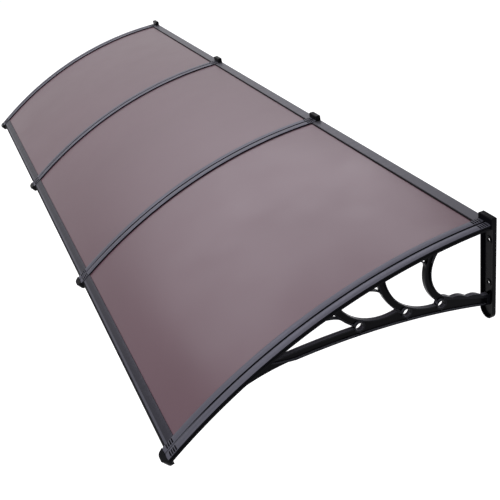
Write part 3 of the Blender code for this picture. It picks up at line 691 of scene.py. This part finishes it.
def strip_mesh(finishes):
    """A pressing strip, with painted shade on its outer edges, in its bars and in its groove, which
    fades.
    """
    section = strip_section()
    last = NOSE_ANGLE - FIT / SEAT_RADIUS
    strip = swept("strip", section, CAP_ANGLE, last)
    count = len(section)
    # slots for the painted shade: on the strip's sides and in its groove, and the groove's fading
    # one
    dark, fading = STRIP_FINISH_AND_PAINTED_SHADE.index("groove"), STRIP_FINISH_AND_PAINTED_SHADE.index("fading_groove")
    right_edge = list(range(2, 3 + CORNER_STEPS // 2))  # the side and half the round above it
    left_edge = [count - 2 - k for k in right_edge]
    lip = count // 2 - 2  # where the groove begins
    paint(strip.data, count, right_edge + left_edge, dark)
    paint(strip.data, count, [lip, lip + 1, lip + 2], fading)
    middle = (STRIP_WIDTH + GROOVE_WIDTH) / 4
    cutters = []
    for k in range(BARS):
        from_front = last - (BARS_FROM_FRONT + k * BAR_STEP) / SEAT_RADIUS
        from_wall = CAP_ANGLE + (BARS_FROM_WALL + k * BAR_STEP) / SEAT_RADIUS
        for place in (from_front, from_wall):
            cutters += [bar_cutter(place, -middle), bar_cutter(place, middle)]
    bars = merged("bars", cutters)
    # painted shade in the bars
    for face in bars.data.polygons:
        face.material_index = dark
    for mesh in (strip.data, bars.data):
        give(mesh, finishes, STRIP_FINISH_AND_PAINTED_SHADE)
    carve(strip, [("DIFFERENCE", bars)])
    mesh = strip.data
    bpy.data.objects.remove(strip)
    return mesh


def on_sheet(run):
    """The height of the underside of what lies on the sheets, at this run."""
    return on_seat(seat_angle(run), STRIP_BASE).y


def rear_section():
    """Side outline of a rear strip: a channel over the sheet's rear edge, flat against the wall."""
    foot = on_seat(seat_angle(REAR_FOOT_REACH), 0).y
    roof = on_sheet(REAR_REACH - GASKET_REACH) + GASKET + FIT
    top = roof + REAR_WALL
    return [
        (0, foot - REAR_WALL),
        (REAR_FOOT_REACH, foot - REAR_WALL),
        (REAR_FOOT_REACH, foot),
        (REAR_WALL, foot),
        (REAR_WALL, roof),
        (REAR_REACH, roof),
        (REAR_REACH, top - REAR_BEVEL),
        (REAR_REACH - REAR_BEVEL, top),
        (0, top),
    ]


def gasket_section():
    """Side outline of a gasket: a foot under the rear strip's front edge, and an upstand."""
    back, inner = REAR_REACH - GASKET_REACH, REAR_REACH + FIT
    outer = inner + GASKET_EDGE
    roof = on_sheet(back) + GASKET
    top = roof + REAR_WALL
    return [
        (back, on_sheet(back)),
        (outer, on_sheet(outer)),
        (outer, top - GASKET_BEVEL),
        (outer - GASKET_BEVEL, top),
        (inner, top),
        (inner, roof),
        (back, roof),
    ]


def at_sheet_front(along, rise):
    """A side point along and above the arc's last stretch, from the sheets' front edge."""
    origin = on_seat(SHEET_ANGLE, 0)
    heading = (on_seat(NOSE_ANGLE, 0) - origin).normalized()
    return origin + along * heading + rise * Vector((-heading.y, heading.x))


def front_section():
    """Side outline of a front strip: a channel over the sheet's front edge, with a round nose."""
    roof, top, bevel = STRIP_BASE, STRIP_BASE + FRONT_WALL, FRONT_BEVEL
    inside = 2 * FIT
    nose_top = Vector((FRONT_NOSE - 3 * bevel, top))
    corners = [Vector((-FRONT_FOOT_REACH, -FRONT_WALL)), Vector((FRONT_NOSE, -FRONT_WALL))]
    corners += curve(Vector((FRONT_NOSE, top - 2 * bevel)), Vector((FRONT_NOSE, top)), nose_top)
    corners += [
        nose_top.lerp(Vector((-FRONT_BAND, top + FRONT_CROWN)), BAND_START),
        Vector((-FRONT_BAND, top + FRONT_CROWN)),
        Vector((bevel - FRONT_REACH, top)),
        Vector((-FRONT_REACH, top - bevel / 2)),
        Vector((-FRONT_REACH, roof)),
        Vector((inside, roof)),
        Vector((inside, 0)),
        Vector((-FRONT_FOOT_REACH, 0)),
    ]
    return [at_sheet_front(*corner) for corner in corners]


def seal_section():
    """Side outline of an edge seal: a half-round bead on the nose of a front strip."""
    low, high = -FRONT_WALL, STRIP_BASE + FRONT_WALL - 2 * FRONT_BEVEL
    back = FRONT_NOSE + FIT
    middle, half = (low + high) / 2, (high - low) / 2
    turns = [math.pi * k / SHORT_STEPS - math.pi / 2 for k in range(SHORT_STEPS + 1)]
    return [at_sheet_front(back + SEAL * math.cos(a), middle + half * math.sin(a)) for a in turns]


def smooth(mesh):
    mesh.shade_smooth()
    mesh.set_sharp_from_angle(angle=SMOOTH_ANGLE)


def finish_piece(piece, node, slot):
    """Smooths a piece, lets it ride and, where node is given, stand for a CAD node."""
    smooth(piece.data)
    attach(piece, "root")
    if node:
        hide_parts(node)


NOISE_LOW, NOISE_HIGH = 0.3, 0.7  # nearly all of a noise lies between these
MIX_A, MIX_B, MIX_COLOUR = 6, 7, 2  # a Mix node's two colour inputs and its colour output
BEVEL_SAMPLES = 6

# Each finish's lowest and highest base colour, with the painted highlights and painted shade marked
MOULDINGS = {
    "bracket": ("black_moulding_finish", (0.003, 0.003, 0.004), (0.005, 0.005, 0.007)),
    # painted highlights on the brackets: the rims a little lighter, the ledges that look up much
    # lighter
    "rim": ("black_rim_painted_highlight", (0.012, 0.012, 0.016), (0.017, 0.017, 0.022)),
    "ledge": ("black_ledge_painted_highlight", (0.110, 0.110, 0.135), (0.140, 0.140, 0.170)),
}
EXTRUSIONS = {
    "strip": ("grey_strip_finish", (0.072, 0.071, 0.092), (0.090, 0.089, 0.114)),
    "edge_strip": ("edge_strip_finish", (0.064, 0.062, 0.075), (0.080, 0.078, 0.093)),
    # the front strip in painted shade, a darker copy of the strip's grey, with a painted highlight
    # on its band
    "front_strip": ("front_strip_painted_shade", (0.020, 0.019, 0.027), (0.028, 0.027, 0.037)),
    "front_band": ("front_band_painted_highlight", (0.056, 0.055, 0.073), (0.070, 0.069, 0.090)),
}
# painted shade in the strips' grooves and bars, on their sides and on the front strips' noses
PAINTED_SHADE_COLOURS = (0.004, 0.004, 0.006), (0.009, 0.009, 0.012)
LIGHT_GROOVE = (0.090, 0.089, 0.110), (0.110, 0.109, 0.132)
SHEET_BROWN = (0.100, 0.049, 0.066), (0.112, 0.057, 0.076)
RUBBER_BLACK = (0.004, 0.004, 0.005), (0.008, 0.008, 0.009)
ZINC = (0.42, 0.42, 0.43), (0.55, 0.55, 0.56)


class Nodes:
    """A short way to write a material's node tree."""

    def __init__(self, name):
        self.material = bpy.data.materials.new(name)
        self.material.use_nodes = True
        self.tree = self.material.node_tree
        self.shader = self.tree.nodes["Principled BSDF"]

    def feed(self, socket, value):
        """Links the socket where value is another node's output, and sets it otherwise."""
        if isinstance(value, bpy.types.NodeSocket):
            self.tree.links.new(value, socket)
        else:
            socket.default_value = value

    def add(self, kind, inputs=(), **settings):
        node = self.tree.nodes.new(kind)
        for key, value in settings.items():
            setattr(node, key, value)
        for key, value in dict(inputs).items():
            self.feed(node.inputs[key], value)
        return node

    def set(self, **inputs):
        """Feeds the shader and gives back the material. A key's underscores stand for spaces."""
        for key, value in inputs.items():
            self.feed(self.shader.inputs[key.replace("_", " ")], value)
        return self.material

    def place(self):
        return self.add("ShaderNodeTexCoord").outputs["Object"]

    def noise(self, scale, stretch=(1, 1, 1), detail=3.0):
        """A noise over the object's own coordinates, which are scaled by axis first."""
        mapping = self.add("ShaderNodeMapping", {"Vector": self.place(), "Scale": stretch})
        where = mapping.outputs["Vector"]
        made = self.add("ShaderNodeTexNoise", {"Vector": where, "Scale": scale, "Detail": detail})
        return made.outputs["Fac"]

    def mapped(self, value, from_low, from_high, low, high):
        ends = {"From Min": from_low, "From Max": from_high, "To Min": low, "To Max": high}
        return self.add("ShaderNodeMapRange", {"Value": value, **ends}).outputs["Result"]

    def spread(self, noise, low, high):
        return self.mapped(noise, NOISE_LOW, NOISE_HIGH, low, high)

    def mixed(self, share, first, second):
        ends = {"Factor": share, MIX_A: first, MIX_B: second}
        return self.add("ShaderNodeMix", ends, data_type="RGBA").outputs[MIX_COLOUR]

    def colours(self, noise, low, high):
        return self.mixed(self.spread(noise, 0, 1), (*low, 1), (*high, 1))

    def bump(self, height, distance, **more):
        inputs = {"Height": height, "Distance": distance, **more}
        return self.add("ShaderNodeBump", inputs).outputs["Normal"]

    def soft_edges(self, radius, height, distance):
        """A bump over edges that look rounded by this radius."""
        bevel = self.add("ShaderNodeBevel", {"Radius": radius}, samples=BEVEL_SAMPLES)
        return self.bump(height, distance, Normal=bevel.outputs["Normal"])


def moulding_material(name, low, high):
    """Moulded plastic with a fine grain."""
    n = Nodes(name)
    grain = n.noise(scale=420.0, detail=2.0)
    return n.set(
        Base_Color=n.colours(n.noise(scale=9.0), low, high),
        Roughness=n.spread(n.noise(scale=28.0), low=0.18, high=0.28),
        Specular_IOR_Level=0.035,
        Normal=n.soft_edges(radius=0.0009, height=grain, distance=0.00004),
    )


def extrusion_material(name, low, high):
    """Satin extrusion, with faint streaks along it."""
    n = Nodes(name)
    streaks = n.noise(scale=60.0, stretch=(6, 0.05, 0.05))
    sheen = n.noise(scale=35.0, stretch=(2, 0.2, 0.2))
    grain = n.noise(scale=900.0, detail=2.0)
    return n.set(
        Base_Color=n.colours(streaks, low, high),
        Metallic=0.3,
        Roughness=n.spread(sheen, low=0.34, high=0.46),
        Specular_IOR_Level=0.1,
        Normal=n.soft_edges(radius=0.0006, height=grain, distance=0.00003),
    )


def painted_shade_material(name, fades):
    """Painted shade for grooves, strip sides, bars and front strip noses. One that fades turns
    light towards the front end of its pressing strip.
    """
    n = Nodes(name)
    colour = n.colours(n.noise(scale=40.0), *PAINTED_SHADE_COLOURS)
    # towards the front end the painted shade fades out to the groove's own light grey
    if fades:
        light = n.colours(n.noise(scale=60.0), *LIGHT_GROOVE)
        y = n.add("ShaderNodeSeparateXYZ", {"Vector": n.place()}).outputs["Y"]
        share = n.mapped(y, -FADE_START, -FADE_END, low=0, high=1)
        colour = n.mixed(share, colour, light)
    return n.set(
        Base_Color=colour,
        Roughness=n.spread(n.noise(scale=90.0), low=0.45, high=0.6),
        Specular_IOR_Level=0.03,
    )


def sheet_material():
    """Tinted sheet, nearly even, with a soft gloss."""
    n = Nodes("brown_sheet_finish")
    return n.set(
        Base_Color=n.colours(n.noise(scale=1.6, detail=2.0), *SHEET_BROWN),
        Roughness=n.spread(n.noise(scale=5.0), low=0.28, high=0.34),
        Specular_IOR_Level=0.32,
        Normal=n.bump(n.noise(scale=240.0, detail=2.0), distance=0.00002),
    )


def rubber_material():
    """Dull rubber with a grain."""
    n = Nodes("black_rubber_finish")
    grain = n.noise(scale=700.0)
    return n.set(
        Base_Color=n.colours(n.noise(scale=20.0), *RUBBER_BLACK),
        Roughness=n.spread(grain, low=0.55, high=0.7),
        Specular_IOR_Level=0.05,
        Normal=n.soft_edges(radius=0.0005, height=grain, distance=0.00005),
    )


def screw_material():
    """Zinc-plated steel."""
    n = Nodes("zinc_screw_finish")
    return n.set(
        Base_Color=n.colours(n.noise(scale=300.0), *ZINC),
        Metallic=1.0,
        Roughness=n.spread(n.noise(scale=500.0), low=0.28, high=0.42),
    )


def finishes_and_painted_light():
    finishes = {key: moulding_material(*looks) for key, looks in MOULDINGS.items()}
    finishes |= {key: extrusion_material(*looks) for key, looks in EXTRUSIONS.items()}
    finishes["groove"] = painted_shade_material("painted_shade_groove_dark", fades=False)
    finishes["fading_groove"] = painted_shade_material("painted_shade_groove_fading", fades=True)
    finishes["sheet"] = sheet_material()
    finishes["rubber"] = rubber_material()
    finishes["screw"] = screw_material()
    return finishes


def pan_head(run):
    """A pan-head screw under the arm, with a cross recess."""
    bottom = -ARM_CORE_DEPTH
    if run > junction().x + GUSSET_AHEAD / 2:  # the core is deeper there
        bottom = -GUSSET_DEPTH
    angle = seat_angle(run, bottom)
    corners = []
    for width_share, height_share in HEAD_PROFILE:
        radius, rise = width_share * SCREW_RADIUS, bottom - height_share * SCREW_HEAD
        for k in range(SCREW_SIDES):
            turn = 2 * math.pi * k / SCREW_SIDES
            point = on_seat(angle + radius * math.cos(turn) / SEAT_RADIUS, rise)
            corners.append(side(point, radius * math.sin(turn)))
    head = mesh_object("screw", corners, tube_faces(len(HEAD_PROFILE), SCREW_SIDES))
    low, high = bottom - 2 * SCREW_HEAD, bottom - SCREW_HEAD / 2
    slots = []
    for along, across in ((CROSS_LONG, CROSS_WIDE), (CROSS_WIDE, CROSS_LONG)):
        reach, half = along * SCREW_RADIUS / SEAT_RADIUS, across * SCREW_RADIUS
        slots.append(seat_block("slot", angle, reach, low, high, -half, half))
    carve(head, [("DIFFERENCE", slot) for slot in slots])
    return head


def add_piece(name, mesh, x, node, slot):
    piece = linked(name, mesh)
    piece.location.x = x
    finish_piece(piece, node, slot)


def add_panel(number, start, end, finishes):
    """A sheet between two brackets, with the strips and the rubber on its rear and front edges."""
    inset = TONGUE_WIDTH / 2 + EXPANSION_GAP
    at_strip = STRIP_WIDTH / 2 + FIT
    at_cap = max(at_strip, PLATE_WIDTH / 2 + CAP_OVERHANG + FIT)
    low, high = start + inset, end - inset
    section = [(low, FIT), (high, FIT), (high, SHEET_FACE), (low, SHEET_FACE)]
    sheet = swept(f"curved_sheet_{number}", section, CAP_ANGLE, SHEET_ANGLE)
    give(sheet.data, finishes, ["sheet"])
    finish_piece(sheet, f"sheet_{number}", "brown_sheet")
    edges = (
        ("rear_strip", rear_section(), at_cap, "grey_strip", ["edge_strip"]),
        ("rear_gasket", gasket_section(), at_cap, "black_rubber", ["rubber"]),
        ("front_strip", front_section(), at_strip, "grey_strip", FRONT_PAINTED_SHADE_AND_HIGHLIGHT),
        ("front_seal", seal_section(), at_strip, "black_rubber", ["rubber"]),
    )
    for name, outline, clear, slot, names in edges:
        piece = prism(f"smooth_{name}_{number}", outline, side, start + clear, end - clear)
        give(piece.data, finishes, names)
        if name == "front_strip":
            # painted shade on the nose, and a painted highlight on the band behind it
            paint(piece.data, len(outline), NOSE_EDGES, names.index("groove"))
            paint(piece.data, len(outline), BAND_EDGES, names.index("front_band"))
        finish_piece(piece, f"{name}_{number}", slot)


def add_canopy():
    finishes = finishes_and_painted_light()
    bracket = bracket_mesh()
    strip = strip_mesh(finishes)
    give(bracket, finishes, BRACKET_FINISHES_AND_HIGHLIGHTS)
    heads = merged("screws", [pan_head(run) for run in SCREW_RUNS])
    screws = heads.data
    bpy.data.objects.remove(heads)
    give(screws, finishes, ["screw"])
    for number, x in enumerate(BRACKET_PLACES, 1):
        add_piece(f"moulded_bracket_{number}", bracket, x, f"bracket_{number}", "black_moulding")
        add_piece(f"ribbed_strip_{number}", strip, x, f"press_strip_{number}", "grey_strip")
        add_piece(f"strip_screws_{number}", screws, x, None, "grey_strip")
    for number, (start, end) in enumerate(zip(BRACKET_PLACES, BRACKET_PLACES[1:]), 1):
        add_panel(number, start, end, finishes)


# The camera: azimuth 0 looks along +Y from the front, 90 looks along -X
AZIMUTH, ELEVATION, ROLL = math.radians(71.351), math.radians(29.962), math.radians(-9.717)
CAMERA_PLACE = Vector((3.0083, -1.1962, 1.0855))
FRAME_PIXELS, FOCAL_PIXELS, SENSOR = 500, 783.25, 36.0

WHITE = (1, 1, 1, 1)
SEEN_WHITE = 1.0  # the world's strength where it is seen, directly or as a reflection
WORLD_LIGHT = 0.5  # its strength where it lights the object
FLOOR_HEIGHT, FLOOR_REACH = -2.3, 40
FLOOR_GREY, FLOOR_LIFT = (0.8, 0.8, 0.8, 1), 0.62  # the lift makes up for the grey where it is seen
LIT_POINT = Vector((0, -0.5, -0.2))  # the lamps face this point
LAMPS = (  # name, place, size, watts, colour, turn about its own axis
    ("key", (0.5, -3.5, 4.0), (3.0, 3.0), 100, (1, 1, 1), 0.0),
    ("glow", (-9.0, -0.4, 7.3), (13.0, 4.0), 580, (0.96, 0.93, 1.0), math.radians(-3)),
)


def add_camera():
    back = Vector((
        math.sin(AZIMUTH) * math.cos(ELEVATION),
        -math.cos(AZIMUTH) * math.cos(ELEVATION),
        math.sin(ELEVATION),
    ))
    right = (-back).cross(Vector((0, 0, 1))).normalized()
    up = right.cross(-back)
    turned_right = math.cos(ROLL) * right + math.sin(ROLL) * up
    turned_up = math.cos(ROLL) * up - math.sin(ROLL) * right
    data = bpy.data.cameras.new("camera")
    data.sensor_width = SENSOR
    data.lens = FOCAL_PIXELS / FRAME_PIXELS * SENSOR
    camera = linked("camera", data)
    turn = Matrix((turned_right, turned_up, back)).transposed()
    camera.matrix_world = Matrix.Translation(CAMERA_PLACE) @ turn.to_4x4()
    bpy.context.scene.camera = camera


def seen_directly(tree):
    """1 for the rays that look straight at a surface, or at its mirror image or through glass."""
    path = tree.nodes.new("ShaderNodeLightPath")
    total = path.outputs["Is Camera Ray"]
    for name in ("Is Glossy Ray", "Is Transmission Ray"):
        add = tree.nodes.new("ShaderNodeMath")
        add.operation = "MAXIMUM"
        tree.links.new(total, add.inputs[0])
        tree.links.new(path.outputs[name], add.inputs[1])
        total = add.outputs[0]
    return total


def add_world():
    world = bpy.data.worlds.new("studio")
    bpy.context.scene.world = world
    world.use_nodes = True
    tree = world.node_tree
    background = tree.nodes["Background"]
    background.inputs["Color"].default_value = WHITE
    mix = tree.nodes.new("ShaderNodeMix")
    tree.links.new(seen_directly(tree), mix.inputs["Factor"])
    mix.inputs["A"].default_value = WORLD_LIGHT
    mix.inputs["B"].default_value = SEEN_WHITE
    tree.links.new(mix.outputs["Result"], background.inputs["Strength"])


def add_floor():
    reach = FLOOR_REACH
    ground = (-reach, -reach), (reach, -reach), (reach, reach), (-reach, reach)
    corners = [(x, y, FLOOR_HEIGHT) for x, y in ground]
    floor = mesh_object("floor", corners, [(0, 1, 2, 3)])
    n = Nodes("pale_floor")
    seen = {0: seen_directly(n.tree), 1: FLOOR_LIFT}
    lift = n.add("ShaderNodeMath", seen, operation="MULTIPLY").outputs[0]
    n.set(Base_Color=FLOOR_GREY, Roughness=1.0, Specular_IOR_Level=0.0)
    floor.data.materials.append(n.set(Emission_Color=WHITE, Emission_Strength=lift))


def add_lamp(name, place, size, power, colour, roll):
    """A flat lamp that faces the canopy, turned by roll about its own axis."""
    data = bpy.data.lights.new(name, "AREA")
    data.shape = "RECTANGLE"
    data.size, data.size_y = size
    data.energy = power
    data.color = colour
    lamp = linked(name, data)
    lamp.location = place
    facing = (LIT_POINT - Vector(place)).to_track_quat("-Z", "Y")
    lamp.rotation_euler = (facing @ Quaternion((0, 0, 1), roll)).to_euler()


add_camera()
add_world()
add_floor()
for lamp in LAMPS:
    add_lamp(*lamp)
add_canopy()

bpy.context.scene.view_settings.view_transform = "Standard"
